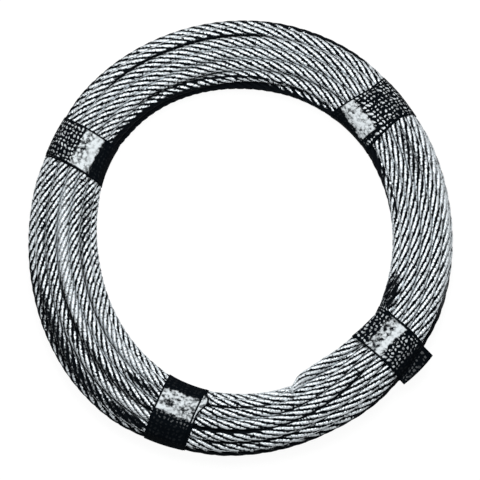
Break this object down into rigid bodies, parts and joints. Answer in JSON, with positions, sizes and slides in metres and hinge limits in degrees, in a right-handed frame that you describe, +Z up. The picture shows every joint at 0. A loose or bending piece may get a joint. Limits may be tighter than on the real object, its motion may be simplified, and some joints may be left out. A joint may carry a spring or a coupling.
{
  "type": "coil of wire rope",
  "caption": "Coil of galvanised stranded wire rope lying flat, its turns bundled in a ring and tied at four places with black cloth tape.",
  "frame": {"origin": "on the floor, under the middle of the coil's eye", "axes": "+Z up along the coil's axis; the pull tab is towards +X and -Y"},
  "size_m": [0.2656, 0.2656, 0.0347],
  "materials": {
    "wire_rope": "bright galvanised steel wires laid in strands, with dark grease in the valleys",
    "cloth_tape": "black woven cloth tape with a satin coated face"
  },
  "bodies": {
    "root": {"rope_coil": "wire_rope", "tape_tie_1": "cloth_tape", "tape_tie_2": "cloth_tape", "tape_tie_3": "cloth_tape", "tape_tie_tabbed": "cloth_tape"}
  },
  "joints": []
}
